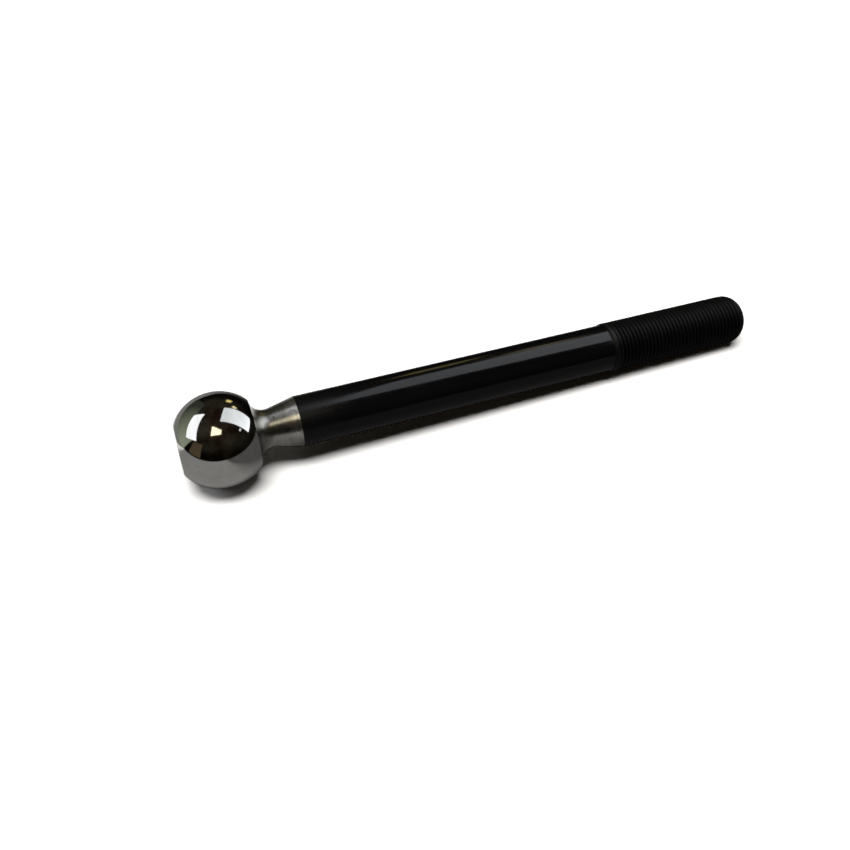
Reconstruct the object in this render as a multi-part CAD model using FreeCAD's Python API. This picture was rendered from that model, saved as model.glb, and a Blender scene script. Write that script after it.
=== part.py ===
"""Ball stud: a ball on a tapered neck, a long plain shank and a rolled M18 x 1.5 thread.

The origin is the centre of the ball. +X runs along the stud to the threaded tip and +Z is up.
All sizes are in millimetres. Each piece is written to parts/ as one STEP file.
"""

import FreeCAD, Part
import math
import os

from FreeCAD import Vector

# Ball
BALL_D = 32.0
POLE_FLAT_X = -13.6          # flat turned on the pole, across the axis
POLE_EDGE_BREAK = 0.25       # small chamfer round the flat
SEAT_X = 11.2                # plane where the neck meets the ball

# Neck: a round fillet under the ball, then a cone that grows to the shank
CONE_HALF_ANGLE = 12.5       # degrees
CONE_END_X = 25.8

# Shank
SHANK_D = 17.2
SHANK_LEAD_CHAMFER = 0.15    # sharp-edge break where the black finish starts

# Rolled thread, M18 x 1.5
THREAD_D = 18.0
THREAD_PITCH = 1.5
THREAD_START_X = 140.2
TIP_X = 197.5
TIP_CORNER_R = 6.4           # the rounded point of the stud
THREAD_RAMP_ANGLE = 30.0     # degrees, rise from the shank to the crests
THREAD_RUNOUT_TURNS = 2.0    # turns over which the groove fades out

# Hidden spigots of the neck, pressed into the ball and the shank
BALL_SPIGOT_D = 8.0
BALL_SPIGOT_LENGTH = 12.0
SHANK_SPIGOT_D = 10.0
SHANK_SPIGOT_LENGTH = 16.0
BORE_END_GAP = 0.5           # air left past the end of each spigot
BORE_MOUTH_CHAMFER = 0.6
SPIGOT_END_CHAMFER = 0.5
DRILL_POINT_ANGLE = 118.0    # degrees, included angle of the bores' ends

# Worked out from the sizes above
BALL_R = BALL_D / 2
SHANK_R = SHANK_D / 2
THREAD_R = THREAD_D / 2
SEAT_R = math.sqrt(BALL_R ** 2 - SEAT_X ** 2)
CONE_SLOPE = math.tan(math.radians(CONE_HALF_ANGLE))
CONE_COS = math.cos(math.radians(CONE_HALF_ANGLE))

# The fillet leaves the ball's seat at right angles to the axis and runs tangent into the cone.
FILLET_R = (SEAT_R - SHANK_R + (CONE_END_X - SEAT_X) * CONE_SLOPE) / (1 / CONE_COS + CONE_SLOPE)
WAIST_D = 2 * (SEAT_R - FILLET_R)

# Metric thread form: a crest of an eighth of the pitch, 60 degree flanks and a narrow root
THREAD_DEPTH = 0.6134 * THREAD_PITCH
CREST_WIDTH = THREAD_PITCH / 8
FLANK_TAN = math.tan(math.radians(30))
GROOVE_ROOT_WIDTH = THREAD_PITCH - CREST_WIDTH - 2 * THREAD_DEPTH * FLANK_TAN
GROOVE_OVERCUT = 0.08        # how far the groove's section reaches past the crests
THREAD_ROOT_R = THREAD_R - THREAD_DEPTH

THREAD_RAMP_LENGTH = (THREAD_R - SHANK_R) / math.tan(math.radians(THREAD_RAMP_ANGLE))
CREST_START_X = THREAD_START_X + THREAD_RAMP_LENGTH
CREST_END_X = TIP_X - TIP_CORNER_R
SECTORS = 6                  # the thread's faces are this many to a turn, each a short piece of the helix
FIRST_SECTOR = 17.0          # degrees round the axis at which the crests' sectors start
CREST_BAND_INNER_R = 7.0     # inner radius of the crest band, inside the roots


def line(start, end):
    """A straight edge between two (x, radius) points."""
    return Part.makeLine(Vector(*start, 0), Vector(*end, 0))


def arc(start, middle, end):
    """A circular edge through three (x, radius) points."""
    return Part.Arc(Vector(*start, 0), Vector(*middle, 0), Vector(*end, 0)).toShape()


def lines(points):
    """Straight edges that join the points in order."""
    return [line(a, b) for a, b in zip(points, points[1:])]


def turned(edges, degrees=360):
    """The solid swept when a closed (x, radius) outline turns about the X axis."""
    face = Part.Face(Part.Wire(edges))
    return face.revolve(Vector(0, 0, 0), Vector(1, 0, 0), degrees)


def along_x(shape):
    """Turn a shape that was built along Z so that it lies along X."""
    shape.rotate(Vector(0, 0, 0), Vector(0, 1, 0), 90)
    return shape


def blind_bore(mouth_x, depth, radius, direction):
    """A drilled blind hole with a chamfered mouth. direction is +1 or -1 along X, into the metal."""
    floor_x = mouth_x + direction * depth
    point_length = radius / math.tan(math.radians(DRILL_POINT_ANGLE / 2))
    return turned(lines([
        (mouth_x, 0),
        (mouth_x, radius + BORE_MOUTH_CHAMFER),
        (mouth_x + direction * BORE_MOUTH_CHAMFER, radius),
        (floor_x, radius),
        (floor_x + direction * point_length, 0),
        (mouth_x, 0),
    ]))


def make_ball():
    """The polished ball, with its pole flat, its seat for the neck and the neck's bore."""
    sphere_start_x = POLE_FLAT_X + POLE_EDGE_BREAK
    sphere_start_r = math.sqrt(BALL_R ** 2 - sphere_start_x ** 2)
    flat_r = math.sqrt(BALL_R ** 2 - POLE_FLAT_X ** 2) - POLE_EDGE_BREAK
    outline = lines([(POLE_FLAT_X, 0), (POLE_FLAT_X, flat_r), (sphere_start_x, sphere_start_r)])
    outline.append(arc((sphere_start_x, sphere_start_r), (0, BALL_R), (SEAT_X, SEAT_R)))
    outline += lines([(SEAT_X, SEAT_R), (SEAT_X, 0), (POLE_FLAT_X, 0)])
    bore = blind_bore(SEAT_X, BALL_SPIGOT_LENGTH + BORE_END_GAP, BALL_SPIGOT_D / 2, -1)
    return turned(outline).cut(bore)


def make_neck():
    """The turned neck: a spigot at each end, the fillet under the ball and the cone."""
    centre_x = SEAT_X + FILLET_R
    tangent = math.radians(CONE_HALF_ANGLE)
    cone_start = (centre_x + FILLET_R * math.sin(tangent), SEAT_R - FILLET_R * math.cos(tangent))
    half_way = math.radians(45)
    fillet_middle = (centre_x - FILLET_R * math.cos(half_way), SEAT_R - FILLET_R * math.sin(half_way))

    ball_spigot_r = BALL_SPIGOT_D / 2
    ball_end_x = SEAT_X - BALL_SPIGOT_LENGTH
    shank_spigot_r = SHANK_SPIGOT_D / 2
    shank_end_x = CONE_END_X + SHANK_SPIGOT_LENGTH

    outline = lines([
        (ball_end_x, 0),
        (ball_end_x, ball_spigot_r - SPIGOT_END_CHAMFER),
        (ball_end_x + SPIGOT_END_CHAMFER, ball_spigot_r),
        (SEAT_X, ball_spigot_r),
        (SEAT_X, SEAT_R),
    ])
    outline.append(arc((SEAT_X, SEAT_R), fillet_middle, cone_start))
    outline += lines([
        cone_start,
        (CONE_END_X, SHANK_R),
        (CONE_END_X, shank_spigot_r),
        (shank_end_x - SPIGOT_END_CHAMFER, shank_spigot_r),
        (shank_end_x, shank_spigot_r - SPIGOT_END_CHAMFER),
        (shank_end_x, 0),
        (ball_end_x, 0),
    ])
    return turned(outline)


def groove_section():
    """The thread groove's outline across the helix, at the helix's start."""
    root_half = GROOVE_ROOT_WIDTH / 2
    outer_half = root_half + (THREAD_DEPTH + GROOVE_OVERCUT) * FLANK_TAN
    outer_r = THREAD_R + GROOVE_OVERCUT
    return Part.makePolygon([
        Vector(THREAD_ROOT_R, 0, -root_half),
        Vector(outer_r, 0, -outer_half),
        Vector(outer_r, 0, outer_half),
        Vector(THREAD_ROOT_R, 0, root_half),
        Vector(THREAD_ROOT_R, 0, -root_half),
    ])


def groove_along(helix):
    """The solid that a thread groove fills along a helix about Z, in short pieces."""
    pieces = []
    for edge in helix.Edges:
        start, end = edge.ParameterRange
        count = max(1, round(SECTORS * (end - start) / (2 * math.pi)))
        cuts = [start + (end - start) * number / count for number in range(1, count)]
        pieces += edge.split(cuts).Edges if cuts else [edge]
    return Part.Wire(pieces).makePipeShell([groove_section()], True, True)


def thread_grooves():
    """The full-depth groove out past the tip, and the run-out where it fades towards the shank."""
    runout_length = THREAD_RUNOUT_TURNS * THREAD_PITCH
    full_depth_x = CREST_START_X + runout_length
    full_length = TIP_X + THREAD_PITCH - full_depth_x
    full = groove_along(Part.makeLongHelix(THREAD_PITCH, full_length, THREAD_ROOT_R, 0))

    # The run-out is a cone-shaped helix. Built upwards, it is turned over to carry on below the start.
    rise = THREAD_DEPTH + GROOVE_OVERCUT
    cone_angle = math.degrees(math.atan(rise / runout_length))
    runout = groove_along(Part.makeLongHelix(THREAD_PITCH, runout_length, THREAD_ROOT_R, cone_angle))
    runout.rotate(Vector(0, 0, 0), Vector(1, 0, 0), 180)

    grooves = [along_x(full), along_x(runout)]
    for groove in grooves:
        groove.translate(Vector(full_depth_x, 0, 0))
    return grooves


def crest_band():
    """The band of metal that carries the crests, in sectors about the axis."""
    step = 360 / SECTORS
    sector = turned(lines([
        (CREST_START_X, CREST_BAND_INNER_R),
        (CREST_START_X, THREAD_R),
        (CREST_END_X, THREAD_R),
        (CREST_END_X, CREST_BAND_INNER_R),
        (CREST_START_X, CREST_BAND_INNER_R),
    ]), step)
    sectors = []
    for number in range(SECTORS):
        piece = sector.copy()
        piece.rotate(Vector(0, 0, 0), Vector(1, 0, 0), FIRST_SECTOR + number * step)
        sectors.append(piece)
    return sectors


def make_threaded_shank():
    """The black shank, with its bore for the neck, its thread and its rounded point."""
    tip_r = THREAD_R - TIP_CORNER_R
    corner = math.radians(45)
    corner_middle = (
        CREST_END_X + TIP_CORNER_R * math.sin(corner),
        tip_r + TIP_CORNER_R * math.cos(corner),
    )
    outline = lines([
        (CONE_END_X, 0),
        (CONE_END_X, SHANK_R - SHANK_LEAD_CHAMFER),
        (CONE_END_X + SHANK_LEAD_CHAMFER, SHANK_R),
        (THREAD_START_X, SHANK_R),
        (CREST_START_X, THREAD_R),
        (CREST_START_X, CREST_BAND_INNER_R),
        (CREST_END_X, CREST_BAND_INNER_R),
        (CREST_END_X, THREAD_R),
    ])
    outline.append(arc((CREST_END_X, THREAD_R), corner_middle, (TIP_X, tip_r)))
    outline += lines([(TIP_X, tip_r), (TIP_X, 0), (CONE_END_X, 0)])

    shank = turned(outline).fuse(crest_band())
    bore = blind_bore(CONE_END_X, SHANK_SPIGOT_LENGTH + BORE_END_GAP, SHANK_SPIGOT_D / 2, 1)
    return shank.cut([bore] + thread_grooves())


def write_piece(name, shape):
    """Write one piece as a STEP file, and stop if it isn't one sound solid."""
    if len(shape.Solids) != 1 or not shape.isValid():
        raise RuntimeError(f"{name} isn't one valid solid")
    solid = shape.Solids[0]
    solid.exportStep(f"parts/{name}.step")
    print(f"{name}: {solid.Volume / 1000:.2f} cm3")


os.makedirs("parts", exist_ok=True)
write_piece("ball", make_ball())
write_piece("neck", make_neck())
write_piece("threaded_shank", make_threaded_shank())
print(f"fillet radius {FILLET_R:.2f} mm, waist {WAIST_D:.2f} mm, length {TIP_X - POLE_FLAT_X:.1f} mm")
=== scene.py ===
"""A ball stud lying on a pale table: polished ball, bare turned neck, black shank with a rolled thread.

Everything is in metres, in the part's own frame: the ball's centre is the origin and +X runs
along the stud to its threaded tip.
"""

import math
from functools import partial

import bpy
import numpy as np
from mathutils import Matrix, Vector


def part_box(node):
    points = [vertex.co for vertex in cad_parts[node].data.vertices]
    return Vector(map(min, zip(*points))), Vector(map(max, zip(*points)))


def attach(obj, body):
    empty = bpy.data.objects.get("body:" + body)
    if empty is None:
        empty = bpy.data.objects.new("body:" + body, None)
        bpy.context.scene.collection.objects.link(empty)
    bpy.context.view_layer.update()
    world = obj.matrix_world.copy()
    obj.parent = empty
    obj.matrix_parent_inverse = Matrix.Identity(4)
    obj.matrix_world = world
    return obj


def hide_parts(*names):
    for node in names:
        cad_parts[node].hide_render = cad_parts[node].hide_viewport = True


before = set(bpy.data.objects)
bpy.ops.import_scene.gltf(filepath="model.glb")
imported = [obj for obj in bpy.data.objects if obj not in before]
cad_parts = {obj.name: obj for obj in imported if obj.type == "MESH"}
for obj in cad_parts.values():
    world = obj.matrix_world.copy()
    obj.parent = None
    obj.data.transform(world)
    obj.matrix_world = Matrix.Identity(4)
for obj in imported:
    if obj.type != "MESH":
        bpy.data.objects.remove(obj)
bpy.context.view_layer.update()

MM = 0.001

# ---------------------------------------------------------------- sizes read from the frame

ball_low, ball_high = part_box("ball")
shank_low, shank_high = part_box("threaded_shank")
neck_low, neck_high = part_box("neck")

BALL_R = ball_high.z
POLE_X = ball_low.x
SEAT_X = ball_high.x
CONE_END_X = shank_low.x
TIP_X = shank_high.x
THREAD_R = shank_high.z
SEAT_R = math.sqrt(BALL_R ** 2 - SEAT_X ** 2)

# ---------------------------------------------------------------- sizes of the stud's features

SHANK_R = 8.6 * MM
CONE_ANGLE = math.radians(12.5)
THREAD_START_X = 140.2 * MM
THREAD_PITCH = 1.5 * MM
THREAD_DEPTH = 0.6134 * THREAD_PITCH
THREAD_FLANK = math.radians(30)        # half angle of the groove
THREAD_CREST = 1 / 16                  # half width of a crest, as a share of the pitch
THREAD_EDGE = 0.035 * MM               # how much the thread's edges are rounded
THREAD_RAMP = 0.7 * MM                 # length of the rise from the shank to the crests
THREAD_RUNOUT = 2.0 * THREAD_PITCH     # length over which the groove fades out
RUNOUT_SPARE = 0.08 * MM               # a little more than the groove's depth, to fade its edges too
HELIX_LEAD = 1.25 * THREAD_PITCH       # how far before the thread the helix starts
HELIX_REST = 3.0 * MM                  # least length of the rounded point past the helix
TIP_CORNER_R = 6.4 * MM
BALL_SPIGOT_R = 4.0 * MM
BALL_BORE_DEPTH = 12.5 * MM
SHANK_SPIGOT_R = 5.0 * MM
SHANK_BORE_DEPTH = 16.5 * MM
SPIGOT_CHAMFER = 0.5 * MM
DRILL_POINT = math.radians(59)         # half angle of a drilled hole's floor

MARKS_START = 2.5 * MM                 # length past the ball over which the turning marks fade in
MARKS_END = 0.3 * MM                   # length before the shank over which they fade out
FACING_PITCH = 0.32 * MM               # distance between the rings turned in the ball's flat
FACING_DEPTH = 0.0015 * MM
POLE_EDGE_R = 0.5 * MM                 # soft edge round the ball's pole flat
EDGE_R = 0.12 * MM                     # sharper edge where the shank starts
EDGE_REACH = 0.5 * MM                  # where the first circle past that edge lies
RING_GAP = 6.0 * MM                    # most between two circles along the plain shank
BALL_SEGMENTS = 288
NECK_SEGMENTS = 256
SHANK_SEGMENTS = 160


# ---------------------------------------------------------------- outlines

def arc_points(centre, radius, start, end, steps):
    """Points of a circular arc as (x, r) pairs. Angles are in radians from +x towards +r."""
    angles = np.linspace(start, end, steps + 1)
    return [(centre[0] + radius * math.cos(a), centre[1] + radius * math.sin(a)) for a in angles]


def rounded(start, corner, end, shares):
    """Points of a soft corner, a quadratic curve from start to end, at the given shares of its length."""
    start, corner, end = Vector(start), Vector(corner), Vector(end)
    return [tuple(start.lerp(corner, s).lerp(corner.lerp(end, s), s)) for s in shares]


def softened(outline, index, radius):
    """The outline with a small arc in place of the point at index."""
    here = Vector(outline[index])
    before = (Vector(outline[index - 1]) - here).normalized()
    after = (Vector(outline[index + 1]) - here).normalized()
    reach = radius / math.tan(before.angle(after) / 2)
    arc = rounded(here + before * reach, here, here + after * reach, [step / 6 for step in range(7)])
    return outline[:index] + arc + outline[index + 1:]


def divided(start, end, spacing):
    """Points from start up to but not including end, no further apart than spacing."""
    start, end = Vector(start), Vector(end)
    count = max(1, math.ceil((end - start).length / spacing))
    return [tuple(start.lerp(end, step / count)) for step in range(count)]


# ---------------------------------------------------------------- meshes

def mesh_object(name, vertices, faces):
    """A smooth-shaded mesh object in the scene."""
    mesh = bpy.data.meshes.new(name)
    mesh.from_pydata(vertices, [], faces)
    mesh.validate()
    mesh.polygons.foreach_set("use_smooth", [True] * len(mesh.polygons))
    mesh.update()
    piece = bpy.data.objects.new(name, mesh)
    bpy.context.scene.collection.objects.link(piece)
    return piece


class Skin:
    """A closed skin round the X axis, built circle by circle from one point of the axis to another."""

    def __init__(self, start_x, segments):
        self.segments = segments
        self.vertices = [(start_x, 0, 0)]
        self.faces = []
        self.edge = None               # the numbers of the last circle's vertices

    def join(self, circle):
        """Joins a circle, given as its vertices' numbers, to the one before or to the first point."""
        for k in range(self.segments):
            after = (k + 1) % self.segments
            if self.edge is None:
                self.faces.append((0, circle[after], circle[k]))
            else:
                self.faces.append((self.edge[k], self.edge[after], circle[after], circle[k]))
        self.edge = circle

    def add_circles(self, outline):
        """Adds a circle for each (x, r) point of an outline."""
        for x, radius in outline:
            first = len(self.vertices)
            for angle in np.linspace(0, 2 * math.pi, self.segments, endpoint=False):
                self.vertices.append((x, radius * math.cos(angle), radius * math.sin(angle)))
            self.join(list(range(first, first + self.segments)))

    def close(self, name, end_x):
        """Ends the skin at a point of the axis and makes the object."""
        last = len(self.vertices)
        self.vertices.append((end_x, 0, 0))
        for k in range(self.segments):
            self.faces.append((self.edge[k], self.edge[(k + 1) % self.segments], last))
        return mesh_object(name, self.vertices, self.faces)


def turned(name, outline, segments):
    """A closed solid of revolution. The outline starts and ends on the axis."""
    skin = Skin(outline[0][0], segments)
    skin.add_circles(outline[1:-1])
    return skin.close(name, outline[-1][0])


# ---------------------------------------------------------------- the ball

def pole_flat(flat_r):
    """The flat's outline from its centre to its soft edge, turned in shallow rings."""
    points = []
    for x, radius in divided((POLE_X, 0.0), (POLE_X, flat_r - POLE_EDGE_R), spacing=0.08 * MM):
        wave = 0.5 - 0.5 * math.cos(2 * math.pi * radius / FACING_PITCH)
        points.append((x + FACING_DEPTH * wave, radius))
    points.append((POLE_X, flat_r - POLE_EDGE_R))
    return points


def make_ball():
    """The polished ball, with its pole flat, its seat and the bore that holds the neck's spigot."""
    flat_r = math.sqrt(BALL_R ** 2 - POLE_X ** 2)
    pole_angle = math.acos(POLE_X / BALL_R)
    seat_angle = math.acos(SEAT_X / BALL_R)
    flat = pole_flat(flat_r)
    sphere = arc_points((0, 0), BALL_R, pole_angle - POLE_EDGE_R / BALL_R, seat_angle, steps=160)
    soft_edge = rounded(flat[-1], (POLE_X, flat_r), sphere[0], [step / 8 for step in range(1, 8)])

    bore_floor_x = SEAT_X - BALL_BORE_DEPTH
    bore_point_x = bore_floor_x - BALL_SPIGOT_R / math.tan(DRILL_POINT)
    inside = divided((SEAT_X, SEAT_R), (SEAT_X, BALL_SPIGOT_R), spacing=1.5 * MM)[1:]
    inside += [(SEAT_X, BALL_SPIGOT_R), (bore_floor_x, BALL_SPIGOT_R), (bore_point_x, 0.0)]
    return turned("ball_polished", flat + soft_edge + sphere + inside, BALL_SEGMENTS)


# ---------------------------------------------------------------- the neck

def turning_marks(x):
    """How far a cutting tool's ridges fall below the turned surface at x, in metres."""
    fine = 0.5 + 0.5 * math.sin(2 * math.pi * x / (0.34 * MM))
    slow = 0.5 + 0.5 * math.sin(2 * math.pi * x / (1.9 * MM) + 1.3)
    odd = 0.5 + 0.5 * math.sin(2 * math.pi * x / (0.83 * MM) + 2.1 * math.sin(x / (1.1 * MM)))
    return (0.0035 * fine + 0.0020 * slow * odd + 0.0015 * odd) * MM


def neck_surface():
    """The outline of the fillet under the ball and of the cone, with turning marks."""
    slope = math.tan(CONE_ANGLE)
    reach = SEAT_R - SHANK_R + (CONE_END_X - SEAT_X) * slope
    fillet_r = reach / (1 / math.cos(CONE_ANGLE) + slope)
    centre = (SEAT_X + fillet_r, SEAT_R)
    fillet = arc_points(centre, fillet_r, math.pi, 1.5 * math.pi + CONE_ANGLE, steps=90)
    cone = divided(fillet[-1], (CONE_END_X, SHANK_R), spacing=0.05 * MM)[1:]
    surface = []
    for x, radius in fillet + cone:
        fade = min(1.0, (x - SEAT_X) / MARKS_START, (CONE_END_X - x) / MARKS_END)
        surface.append((x, radius - max(0.0, fade) * turning_marks(x)))
    return surface


def make_neck():
    """The turned neck: a spigot at each end, the fillet and the cone."""
    outline = [
        (neck_low.x, 0.0),
        (neck_low.x, BALL_SPIGOT_R - SPIGOT_CHAMFER),
        (neck_low.x + SPIGOT_CHAMFER, BALL_SPIGOT_R),
        (SEAT_X, BALL_SPIGOT_R),
    ]
    outline += neck_surface()
    outline += [
        (CONE_END_X, SHANK_R),
        (CONE_END_X, SHANK_SPIGOT_R),
        (neck_high.x - SPIGOT_CHAMFER, SHANK_SPIGOT_R),
        (neck_high.x, SHANK_SPIGOT_R - SPIGOT_CHAMFER),
        (neck_high.x, 0.0),
    ]
    return turned("neck_turned", outline, NECK_SEGMENTS)


# ---------------------------------------------------------------- the shank and its thread

# Where the rows of one turn of the thread lie, as shares of the pitch from one crest to the next
THREAD_STATIONS = (0.0, 0.045, 0.07, 0.10, 0.24, 0.385, 0.43, 0.5,
                   0.57, 0.615, 0.76, 0.90, 0.93, 0.955)
TURN = len(THREAD_STATIONS)
HELIX_START_X = THREAD_START_X - HELIX_LEAD
HELIX_TURNS = int((TIP_X - HELIX_REST - HELIX_START_X) / THREAD_PITCH) - 1
LAST_ROW = HELIX_TURNS * TURN              # the last row that follows the helix
END_ROW = LAST_ROW + TURN                  # the plain circle past it


def bare_radius(x):
    """The stud's radius before its thread is rolled, from the shank to the rounded point."""
    corner_x = TIP_X - TIP_CORNER_R
    if x > corner_x:
        along = min(x - corner_x, TIP_CORNER_R)
        return THREAD_R - TIP_CORNER_R + math.sqrt(TIP_CORNER_R ** 2 - along ** 2)
    rise = min(max((x - THREAD_START_X) / THREAD_RAMP, 0.0), 1.0)
    rise = rise * rise * (3 - 2 * rise)
    return SHANK_R + (THREAD_R - SHANK_R) * rise


def groove_depth(share):
    """The depth of the thread at a share of the pitch from a crest, with its edges a little round."""
    from_crest = min(share % 1.0, 1 - share % 1.0)
    straight = (from_crest - THREAD_CREST) * THREAD_PITCH / math.tan(THREAD_FLANK)
    depth = 0.5 * (straight + math.sqrt(straight ** 2 + THREAD_EDGE ** 2))
    over = depth - THREAD_DEPTH
    return depth - 0.5 * (over + math.sqrt(over ** 2 + (2 * THREAD_EDGE) ** 2))


def thread_radius(x, share):
    """The stud's radius at x, where share is the place in the thread's pitch."""
    fade = min(max((THREAD_START_X + THREAD_RAMP + THREAD_RUNOUT - x) / THREAD_RUNOUT, 0.0), 1.0)
    groove = max(0.0, groove_depth(share) - fade * (THREAD_DEPTH + RUNOUT_SPARE))
    return max(min(bare_radius(x), THREAD_R - groove), 0.0)


def row_x(row, around):
    """Where a row of the thread's sheet lies, at a share of the turn round the axis.

    Rows from 0 to LAST_ROW follow the helix. The TURN rows before them fan out from the first plain
    circle, and the TURN rows after them close up into the last one.
    """
    if row < 0:
        return HELIX_START_X + THREAD_STATIONS[row + TURN] * THREAD_PITCH * around
    if row > LAST_ROW:
        share = 1 - THREAD_STATIONS[row - LAST_ROW] if row < END_ROW else 0.0
        return HELIX_START_X + THREAD_PITCH * (HELIX_TURNS + 1 - share * (1 - around))
    return HELIX_START_X + (row // TURN + THREAD_STATIONS[row % TURN] + around) * THREAD_PITCH


def row_points(row):
    """The points of one row of the thread's sheet."""
    points = []
    for around in np.linspace(0, 1, SHANK_SEGMENTS, endpoint=False):
        x = row_x(row, around)
        radius = thread_radius(x, (x - HELIX_START_X) / THREAD_PITCH - around)
        angle = 2 * math.pi * around
        points.append((x, radius * math.cos(angle), radius * math.sin(angle)))
    return points


def add_thread(skin):
    """Adds the helical sheet to a skin. The end of a row joins the start of the row a turn further on."""
    numbers = {}
    for row in range(-TURN, END_ROW + 1):
        for k, point in enumerate(row_points(row)):
            # In the first fan, the rows come together in one point.
            if -TURN < row <= 0 and k == 0:
                numbers[row, k] = numbers[-TURN, 0]
                continue
            numbers[row, k] = len(skin.vertices)
            skin.vertices.append(point)

    def corner(row, k):
        """The vertex at a row and column, where the column past the last is a turn further on."""
        if k < skin.segments:
            return numbers[row, k]
        return numbers[min(row + TURN, END_ROW), 0]

    skin.join([numbers[-TURN, k] for k in range(skin.segments)])
    for row in range(-TURN, END_ROW):
        for k in range(skin.segments):
            corners = [corner(row, k), corner(row, k + 1), corner(row + 1, k + 1), corner(row + 1, k)]
            face = tuple(dict.fromkeys(corners))
            if len(face) > 2:
                skin.faces.append(face)
    skin.edge = [numbers[END_ROW, k] for k in range(skin.segments)]


def plain_outline(end_x):
    """The shank's bore, the face at the cone and the plain length up to the thread."""
    bore_floor_x = CONE_END_X + SHANK_BORE_DEPTH
    outline = [(bore_floor_x, SHANK_SPIGOT_R), (CONE_END_X, SHANK_SPIGOT_R)]
    outline += divided((CONE_END_X, SHANK_SPIGOT_R), (CONE_END_X, SHANK_R), spacing=1.0 * MM)[1:]
    outline += [(CONE_END_X, SHANK_R), (CONE_END_X + EDGE_REACH, SHANK_R)]
    outline = softened(outline, len(outline) - 2, EDGE_R)
    return outline + divided(outline[-1], (end_x, SHANK_R), spacing=RING_GAP)[1:]


def point_outline(start_x):
    """The rest of the rounded point and its flat end."""
    tip_r = THREAD_R - TIP_CORNER_R
    corner_x = TIP_X - TIP_CORNER_R
    start_angle = math.asin((start_x - corner_x) / TIP_CORNER_R)
    outline = arc_points((corner_x, tip_r), TIP_CORNER_R, math.pi / 2 - start_angle, 0, steps=24)[1:]
    return outline + divided((TIP_X, tip_r), (TIP_X, 0.0), spacing=0.5 * MM)[1:]


def make_threaded_shank():
    """The black shank: its bore, the plain length, the helical thread and the rounded point."""
    bore_point_x = CONE_END_X + SHANK_BORE_DEPTH + SHANK_SPIGOT_R / math.tan(DRILL_POINT)
    skin = Skin(bore_point_x, SHANK_SEGMENTS)
    skin.add_circles(plain_outline(row_x(-TURN, 0)))
    add_thread(skin)
    skin.add_circles(point_outline(row_x(END_ROW, 0)))
    return skin.close("threaded_shank_black", TIP_X)


# ---------------------------------------------------------------- shader helpers

def set_input(tree, socket, value):
    """Links or sets one input of a node."""
    if isinstance(value, bpy.types.NodeSocket):
        tree.links.new(value, socket)
    else:
        socket.default_value = value


def add_node(tree, kind, inputs, **settings):
    """A node with its settings, and its inputs linked or set."""
    node = tree.nodes.new(kind)
    for key, value in settings.items():
        setattr(node, key, value)
    for key, value in inputs.items():
        set_input(tree, node.inputs[key], value)
    return node


class Shader:
    """A material's node tree, with short ways to add the nodes used here."""

    def __init__(self, name):
        self.material = bpy.data.materials.new(name)
        self.material.use_nodes = True
        self.tree = self.material.node_tree
        self.tree.nodes.clear()
        self.output = self.node("ShaderNodeOutputMaterial", {})
        self.place = self.node("ShaderNodeTexCoord", {}).outputs["Object"]
        self.x, self.y, self.z = self.node("ShaderNodeSeparateXYZ", {0: self.place}).outputs

    def node(self, kind, inputs, **settings):
        return add_node(self.tree, kind, inputs, **settings)

    def math(self, operation, a, b):
        return self.node("ShaderNodeMath", {0: a, 1: b}, operation=operation).outputs[0]

    def noise(self, scale, detail=2.0, roughness=0.5, stretch=(1, 1, 1), distortion=0.0):
        """Noise of the given number of waves a metre, stretched along an axis where stretch is small."""
        place = self.node("ShaderNodeMapping", {"Vector": self.place, "Scale": stretch}).outputs[0]
        inputs = {"Vector": place, "Scale": scale, "Detail": detail,
                  "Roughness": roughness, "Distortion": distortion}
        return self.node("ShaderNodeTexNoise", inputs).outputs["Fac"]

    def ramp(self, value, low, high, to_low=0.0, to_high=1.0):
        """Maps low..high to to_low..to_high, held at the ends."""
        inputs = {"Value": value, "From Min": low, "From Max": high,
                  "To Min": to_low, "To Max": to_high}
        return self.node("ShaderNodeMapRange", inputs, clamp=True).outputs[0]

    def mix(self, share, a, b):
        """A colour between a and b."""
        node = self.node("ShaderNodeMix", {}, data_type="RGBA")
        # A Mix node's sockets for its share and its two colours are 0, 6 and 7.
        set_input(self.tree, node.inputs[0], share)
        set_input(self.tree, node.inputs[6], a)
        set_input(self.tree, node.inputs[7], b)
        return node.outputs[2]

    def bump(self, height, strength, distance, normal=None):
        inputs = {"Height": height, "Strength": strength, "Distance": distance}
        if normal is not None:
            inputs["Normal"] = normal
        return self.node("ShaderNodeBump", inputs).outputs[0]

    def finish(self, surface):
        """Ends the tree with a shader node."""
        self.tree.links.new(surface.outputs[0], self.output.inputs["Surface"])
        return self.material

    def principled(self, **inputs):
        """Ends the tree with a principled shader. Underscores in names stand for spaces."""
        spaced = {key.replace("_", " "): value for key, value in inputs.items()}
        return self.finish(self.node("ShaderNodeBsdfPrincipled", spaced))


# ---------------------------------------------------------------- materials

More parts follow.
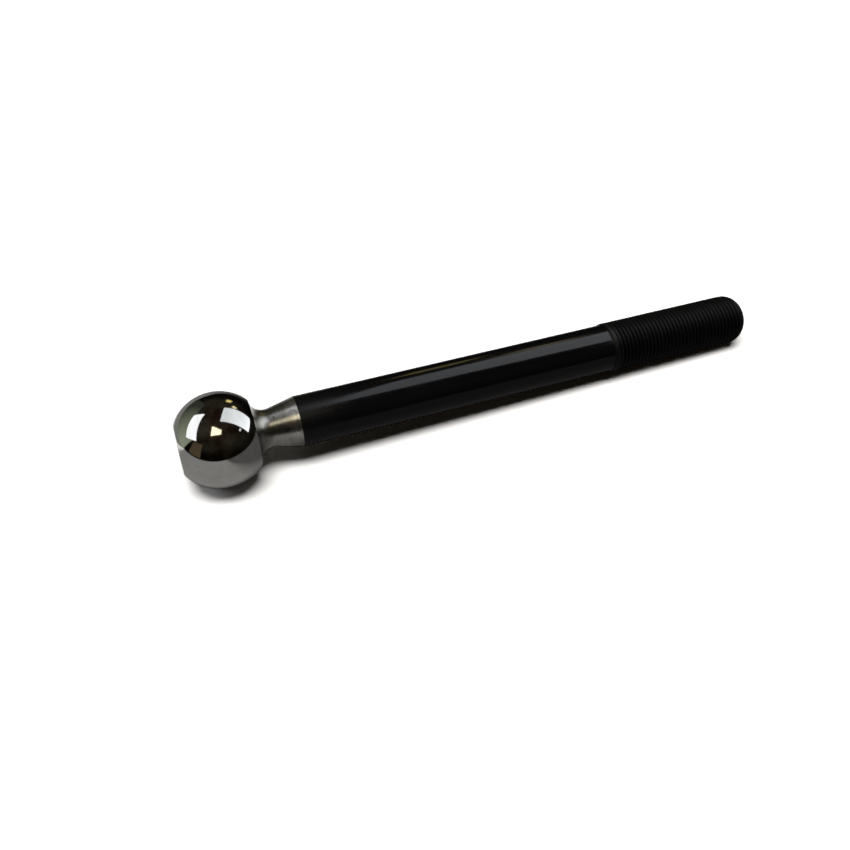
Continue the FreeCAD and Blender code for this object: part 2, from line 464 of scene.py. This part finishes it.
def polished_steel():
    """Mirror-polished steel, with faint smears of oil, hairline scratches and a slight ripple."""
    s = Shader("polished_steel")
    smear = s.noise(160, detail=4, roughness=0.6, stretch=(1, 0.35, 1), distortion=0.6)
    hairline = s.noise(5200, detail=2, roughness=0.6, stretch=(0.05, 1, 1), distortion=1.2)
    scratch = s.ramp(hairline, 0.66, 0.74)
    rough = s.math("ADD", s.ramp(smear, 0.35, 0.75, 0.035, 0.10), s.math("MULTIPLY", scratch, 0.05))
    colour = s.mix(s.ramp(smear, 0.4, 0.7), (0.60, 0.595, 0.58, 1), (0.53, 0.525, 0.505, 1))
    ripple = s.bump(s.noise(95, detail=1, roughness=0.4), strength=0.10, distance=0.4 * MM)
    normal = s.bump(hairline, strength=0.03, distance=0.02 * MM, normal=ripple)
    return s.principled(Base_Color=colour, Metallic=1.0, Roughness=rough, Normal=normal)


def turned_steel():
    """Bare steel with turning marks round the axis, a satin fillet and faint brown tarnish.

    Near the black shank its base colour carries a painted highlight on its upper side and painted shade
    on its lower side.
    """
    s = Shader("turned_steel")
    marks = s.noise(4200, detail=3, roughness=0.7, stretch=(1, 0.012, 0.012))
    fine = s.noise(11000, detail=2, roughness=0.6, stretch=(1, 0.03, 0.03))
    patch = s.noise(420, detail=4, roughness=0.65)
    speck = s.ramp(s.noise(2600, detail=3, roughness=0.7), 0.66, 0.76)
    clean = s.mix(s.ramp(marks, 0.3, 0.7), (0.36, 0.355, 0.335, 1), (0.56, 0.555, 0.53, 1))
    tarnished = s.mix(s.ramp(patch, 0.52, 0.78, 0.0, 0.55), clean, (0.30, 0.25, 0.17, 1))
    spotted = s.mix(s.math("MULTIPLY", speck, 0.5), tarnished, (0.10, 0.085, 0.065, 1))
    # Painted highlight and shade: near the shank the colour is lighter on the upper side and darker on
    # the lower side.
    end = s.ramp(s.x, CONE_END_X - 5.0 * MM, CONE_END_X - 1.5 * MM)
    bright = s.math("ADD", 1.0, s.math("MULTIPLY", end, s.ramp(s.z, -2.0 * MM, 5.0 * MM, -0.25, 0.85)))
    colour = s.node("ShaderNodeVectorMath", {0: spotted, "Scale": bright}, operation="SCALE").outputs[0]
    rough = s.math("ADD", s.ramp(patch, 0.3, 0.7, 0.26, 0.38), s.ramp(fine, 0.3, 0.7, -0.04, 0.06))
    coarse = s.bump(marks, strength=0.35, distance=0.03 * MM)
    normal = s.bump(fine, strength=0.25, distance=0.01 * MM, normal=coarse)
    around = s.node("ShaderNodeTangent", {}, direction_type="RADIAL", axis="X").outputs[0]
    return s.principled(Base_Color=colour, Metallic=1.0, Roughness=rough, Normal=normal,
                        Anisotropic=0.75, Anisotropic_Rotation=0.25, Tangent=around)


def black_gloss():
    """Gloss black on the plain shank, duller where it is rubbed near the neck, with faint draw lines."""
    s = Shader("black_gloss")
    draw = s.noise(1500, detail=3, roughness=0.6, stretch=(0.02, 1, 1))
    grain = s.noise(6500, detail=3, roughness=0.6)
    handling = s.noise(90, detail=4, roughness=0.6, stretch=(0.5, 1, 1), distortion=0.4)
    rubbed = s.ramp(s.x, 30 * MM, 46 * MM, 0.18, 0.0)
    smears = s.math("ADD", rubbed, s.ramp(handling, 0.35, 0.7, 0.10, 0.17))
    rough = s.math("ADD", smears, s.ramp(draw, 0.3, 0.7, -0.02, 0.03))
    colour = s.mix(s.ramp(handling, 0.3, 0.7), (0.0040, 0.0040, 0.0048, 1), (0.0050, 0.0050, 0.0056, 1))
    lines = s.bump(draw, strength=0.06, distance=0.02 * MM)
    normal = s.bump(grain, strength=0.10, distance=0.01 * MM, normal=lines)
    return s.principled(Base_Color=colour, Metallic=0.0, Roughness=rough, Normal=normal,
                        Specular_IOR_Level=0.47)


def black_thread():
    """Duller black on the thread, worn a little lighter along the crests."""
    s = Shader("black_thread")
    across = s.node("ShaderNodeCombineXYZ", {"Y": s.y, "Z": s.z}).outputs[0]
    radius = s.node("ShaderNodeVectorMath", {0: across}, operation="LENGTH").outputs["Value"]
    crest = s.ramp(radius, THREAD_R - 0.09 * MM, THREAD_R - 0.01 * MM)
    worn = s.math("MULTIPLY", crest, s.ramp(s.noise(700, detail=3), 0.3, 0.7, 0.3, 1.0))
    colour = s.mix(worn, (0.0015, 0.0015, 0.0017, 1), (0.012, 0.012, 0.012, 1))
    grain = s.noise(6500, detail=3, roughness=0.6)
    rough = s.ramp(grain, 0.3, 0.7, 0.36, 0.50)
    normal = s.bump(grain, strength=0.10, distance=0.01 * MM)
    return s.principled(Base_Color=colour, Metallic=0.0, Roughness=rough, Normal=normal,
                        Specular_IOR_Level=0.28)


# ---------------------------------------------------------------- the pieces

def dress(piece, node, slot, *materials):
    """Puts a piece on the one body in place of its CAD node, with its finishes."""
    for material in materials:
        piece.data.materials.append(material)
    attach(piece, "root")
    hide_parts(node)


dress(make_ball(), "ball", "polished_steel", polished_steel())
dress(make_neck(), "neck", "turned_steel", turned_steel())
shank = make_threaded_shank()
dress(shank, "threaded_shank", "black_finish", black_gloss(), black_thread())
# From partway up the rise to the crests, the faces take the thread's duller black.
for face in shank.data.polygons:
    face.material_index = int(face.center.x > THREAD_START_X + 0.4 * THREAD_RAMP)


# ---------------------------------------------------------------- the stage's sizes and places

# The stud rests on the ball and on the rounded end of its thread, so its axis dips towards the tip.
TIP_CORNER_CENTRE = (TIP_X - TIP_CORNER_R, THREAD_R - TIP_CORNER_R)
STUD_MIDDLE = Vector((0.5 * (POLE_X + TIP_X), 0, 0))
LEAN = math.asin((BALL_R - TIP_CORNER_R - TIP_CORNER_CENTRE[1]) / TIP_CORNER_CENTRE[0])
TABLE = Matrix.Rotation(-LEAN, 4, "Y")     # the table's frame, with its origin at the ball's centre
TABLE_HALF = 2.5                           # half the length of the table's sides

CAMERA_PLACE = (-3.69 * MM, -202.1 * MM, 221.7 * MM)    # in the table's frame
CAMERA_AZIMUTH = math.radians(20.26)       # clockwise from the table's +Y
CAMERA_ELEVATION = math.radians(48.32)
CAMERA_LENS = 38.12                        # millimetres
SENSOR_WIDTH = 36.0                        # millimetres

SEEN_ALBEDO = 3.0                          # the table to the camera, bright enough for plain white
GLOW_START = 130 * MM                      # distance from the stud's middle where its glow starts
GLOW_FULL = 300 * MM                       # and where only the glow is left
# The table's brightest part in reflections is a painted sheen of the windows, not a lamp.
PAINTED_SHEEN_ALBEDO = 2.4                         # the table's brightest part in reflections
SHEET_NEAR = 30 * MM                       # how far behind the stud, along Y, that part begins
SHEET_FAR = 48 * MM                        # and how far behind it the table starts to end

ROOM_RADIUS = 0.45                         # distance of each pane's plane from the ball
LIGHT_DISTANCE = 1.5                       # distance of the lights from the ball
OVERHEAD_TILT = (math.radians(3), math.radians(8.5))    # how far it leans towards -X and -Y
OVERHEAD_RADIANCE = 5.8
SIDE_RADIANCE = 0.9
FILL_STRENGTH = 0.0045


def table_heading(azimuth, elevation):
    """A direction in the table's frame. Azimuth runs from straight away from the camera to its left."""
    turn = math.radians(azimuth) - CAMERA_AZIMUTH
    up = math.radians(elevation)
    return Vector((-math.sin(turn) * math.cos(up), math.cos(turn) * math.cos(up), math.sin(up)))


def heading(azimuth, elevation):
    """The same direction in the part's frame. Both angles are in degrees."""
    return TABLE.to_3x3() @ table_heading(azimuth, elevation)


# ---------------------------------------------------------------- camera and table

def make_camera():
    data = bpy.data.cameras.new("camera")
    data.lens = CAMERA_LENS
    data.sensor_width = SENSOR_WIDTH
    data.clip_start = 0.01
    camera = bpy.data.objects.new("camera", data)
    bpy.context.scene.collection.objects.link(camera)
    turn = Matrix.Rotation(-CAMERA_AZIMUTH, 4, "Z")
    tip = Matrix.Rotation(math.pi / 2 - CAMERA_ELEVATION, 4, "X")
    camera.matrix_world = TABLE @ Matrix.Translation(CAMERA_PLACE) @ turn @ tip
    bpy.context.scene.camera = camera


def table_in_reflections(s, rays):
    """A grey sheet with a painted sheen of the windows behind the ball that fades along the stud, and
    painted shade under and in front of the stud that deepens from the ball to the shank, with little of
    it left past its far edge.

    The table sees it dimmer by way of the stud, so that the stud's shadow stays dark.
    """
    # Painted shade: the sheet is darker under and in front of the stud, from the ball on to the shank.
    near = s.ramp(s.x, 9 * MM, 27 * MM, 0.62, 0.22)
    # Painted reflection: the windows' sheen on the table behind the stud, brightest behind the ball.
    bright = s.ramp(s.x, 40 * MM, 100 * MM, PAINTED_SHEEN_ALBEDO, 0.7)
    far = s.ramp(s.y, 0.3 * SHEET_NEAR, SHEET_NEAR)
    sheet = s.math("ADD", near, s.math("MULTIPLY", far, s.math("SUBTRACT", bright, near)))
    rest = s.ramp(s.x, 0.0, 60 * MM, 0.22, 0.03)
    edge = s.ramp(s.y, SHEET_FAR, SHEET_FAR + 12 * MM, 1.0, 0.0)
    even = s.math("MULTIPLY", sheet, s.math("MAXIMUM", edge, rest))
    albedo = s.math("MULTIPLY", even, s.ramp(s.noise(60, detail=3), 0.3, 0.7, 0.93, 1.07))
    bounced = s.ramp(rays.outputs["Diffuse Depth"], 0.0, 1.0, 1.0, 0.3)
    return s.node("ShaderNodeBsdfDiffuse", {"Color": s.math("MULTIPLY", albedo, bounced)})


def table_to_camera(s):
    """White with the stud's shadow on it, which gives way to a plain white glow farther off."""
    distance = s.node("ShaderNodeVectorMath", {0: s.place, 1: STUD_MIDDLE}, operation="DISTANCE")
    away = s.ramp(distance.outputs["Value"], GLOW_START, GLOW_FULL)
    lit = s.node("ShaderNodeBsdfDiffuse", {"Color": (SEEN_ALBEDO, SEEN_ALBEDO, SEEN_ALBEDO, 1)})
    glow = s.node("ShaderNodeEmission", {"Color": (1, 1, 1, 1), "Strength": 1.2})
    return s.node("ShaderNodeMixShader", {0: away, 1: lit.outputs[0], 2: glow.outputs[0]})


def make_table():
    """A large pale table that looks different to the camera and to reflections."""
    corners = [(-TABLE_HALF, -TABLE_HALF), (TABLE_HALF, -TABLE_HALF),
               (TABLE_HALF, TABLE_HALF), (-TABLE_HALF, TABLE_HALF)]
    vertices = [TABLE @ Vector((x, y, -BALL_R)) for x, y in corners]
    table = mesh_object("table", vertices, [(0, 1, 2, 3)])
    s = Shader("table_white")
    rays = s.node("ShaderNodeLightPath", {})
    mirrored = table_in_reflections(s, rays)
    seen = table_to_camera(s)
    both = s.node("ShaderNodeMixShader", {
        0: rays.outputs["Is Camera Ray"], 1: mirrored.outputs[0], 2: seen.outputs[0]})
    s.material.cycles.emission_sampling = "NONE"
    table.data.materials.append(s.finish(both))


# ---------------------------------------------------------------- light and surroundings

def pane_strength(s, radiance, fade):
    """A pane's brightness: a little uneven, faded towards one side, and nothing for the table."""
    strength = s.ramp(s.noise(1.1, detail=2), 0.3, 0.7, 0.85 * radiance, 1.15 * radiance)
    if fade is not None:
        bright, dim = heading(*fade[0]), heading(*fade[1])
        side = (bright - dim) / (bright - dim).length_squared
        inputs = {0: s.place, 1: side / ROOM_RADIUS}
        share = s.node("ShaderNodeVectorMath", inputs, operation="DOT_PRODUCT").outputs["Value"]
        low = dim.dot(side)
        strength = s.math("MULTIPLY", strength, s.ramp(share, low, low + 1.0, fade[2], 1.0))
    bounces = s.node("ShaderNodeLightPath", {}).outputs["Diffuse Depth"]
    return s.math("MULTIPLY", strength, s.math("LESS_THAN", bounces, 0.5))


def make_pane(name, corners, colour, radiance, fade=None):
    """A soft bright pane that only shows in reflections. Its corners are (azimuth, elevation) in degrees.

    fade is the place where the pane is brightest, the place where it is dimmest, and the share of
    its light that is left there.
    """
    directions = [heading(*corner) for corner in corners]
    facing = sum(directions, Vector()).normalized()
    vertices = [d * ROOM_RADIUS / d.dot(facing) for d in directions]
    pane = mesh_object(name, vertices, [(0, 1, 2, 3)])
    pane.visible_camera = False
    pane.visible_diffuse = False
    pane.visible_shadow = False
    s = Shader(name)
    inputs = {"Color": (*colour, 1), "Strength": pane_strength(s, radiance, fade)}
    pane.data.materials.append(s.finish(s.node("ShaderNodeEmission", inputs)))


def make_panes():
    """The windows, lamps and lit walls that the polished ball reflects."""
    make_pane("window_left", ((128, 33), (48, 58), (60, 37), (101, 19)), (0.95, 0.97, 1.0), 1.9)
    make_pane("window_right", ((-13, 49), (-74, 81), (-85, 17), (-54, 15)), (0.93, 0.97, 1.0), 1.85,
              fade=((-70, 16), (-45, 66), 0.62))
    make_pane("ceiling_lamp", ((149, 78), (-140, 67), (-153, 59), (165, 57)), (1.0, 0.88, 0.62), 2.4)
    make_pane("gold_lamp", ((-5, 29), (-13, 29), (-13, 20), (-5, 20)), (1.0, 0.80, 0.30), 1.1)
    make_pane("gold_lamp_high", ((-23, 38), (-32, 38), (-32, 31), (-23, 31)), (1.0, 0.86, 0.50), 1.2)
    make_pane("white_lamp", ((-88, 38), (-96, 38), (-96, 34), (-88, 34)), (0.95, 1.0, 1.0), 0.9)
    make_pane("green_wall", ((118, 28), (30, 36), (30, -8), (104, -8)), (0.80, 0.88, 0.66), 0.42,
              fade=((100, 12), (36, 12), 0.12))
    make_pane("tan_wall", ((148, 34), (124, 28), (121, 3), (148, 3)), (0.80, 0.60, 0.36), 0.12)


def make_light(name, outward, size, colour, radiance):
    """A soft elliptical light, unseen in reflections. outward leads to it, in the table's frame."""
    data = bpy.data.lights.new(name, "AREA")
    data.shape = "ELLIPSE"
    data.size, data.size_y = size
    data.color = colour
    area = size[0] * size[1] * math.pi / 4
    data.energy = radiance * math.pi * area
    light = bpy.data.objects.new(name, data)
    bpy.context.scene.collection.objects.link(light)
    turn = outward.to_track_quat("Z", "Y").to_matrix().to_4x4()
    light.matrix_world = TABLE @ Matrix.Translation(outward.normalized() * LIGHT_DISTANCE) @ turn
    light.visible_camera = False
    light.visible_glossy = False


def make_lights():
    """A wide light nearly overhead and a weaker one from the camera's left."""
    overhead = Vector((-math.tan(OVERHEAD_TILT[0]), -math.tan(OVERHEAD_TILT[1]), 1.0))
    make_light("overhead", overhead, (1.25, 0.62), (1.0, 0.985, 0.96), OVERHEAD_RADIANCE)
    make_light("side", table_heading(100, 42), (0.9, 0.6), (0.95, 0.97, 1.0), SIDE_RADIANCE)


def make_room():
    """A dim uneven room round the table, darker near the floor. The camera itself sees white."""
    world = bpy.data.worlds.new("room")
    world.use_nodes = True
    world.node_tree.nodes.clear()
    add = partial(add_node, world.node_tree)
    place = add("ShaderNodeTexCoord", {}).outputs["Generated"]
    shapes = add("ShaderNodeTexNoise", {"Vector": place, "Scale": 1.7, "Detail": 3.0})
    tones = add("ShaderNodeValToRGB", {"Fac": shapes.outputs["Fac"]})
    tones.color_ramp.elements[0].position = 0.38
    tones.color_ramp.elements[0].color = (0.014, 0.007, 0.004, 1)
    tones.color_ramp.elements[1].position = 0.68
    tones.color_ramp.elements[1].color = (0.044, 0.040, 0.028, 1)
    up = add("ShaderNodeVectorMath", {0: place, 1: heading(0, 90)}, operation="DOT_PRODUCT")
    high = add("ShaderNodeMapRange", {
        "Value": up.outputs["Value"], "From Min": 0.15, "From Max": 0.90, "To Min": 0.16, "To Max": 1.0})
    rays = add("ShaderNodeLightPath", {})
    mirrored = add("ShaderNodeBackground", {"Color": tones.outputs["Color"], "Strength": high.outputs[0]})
    fill = add("ShaderNodeBackground", {"Color": (1.0, 0.80, 0.52, 1), "Strength": FILL_STRENGTH})
    seen = add("ShaderNodeBackground", {"Color": (1, 1, 1, 1)})
    unseen = add("ShaderNodeMixShader", {
        0: rays.outputs["Is Glossy Ray"], 1: fill.outputs[0], 2: mirrored.outputs[0]})
    both = add("ShaderNodeMixShader", {
        0: rays.outputs["Is Camera Ray"], 1: unseen.outputs[0], 2: seen.outputs[0]})
    add("ShaderNodeOutputWorld", {"Surface": both.outputs[0]})
    bpy.context.scene.world = world


make_camera()
make_table()
make_room()
make_lights()
make_panes()

bpy.context.scene.view_settings.view_transform = "Standard"
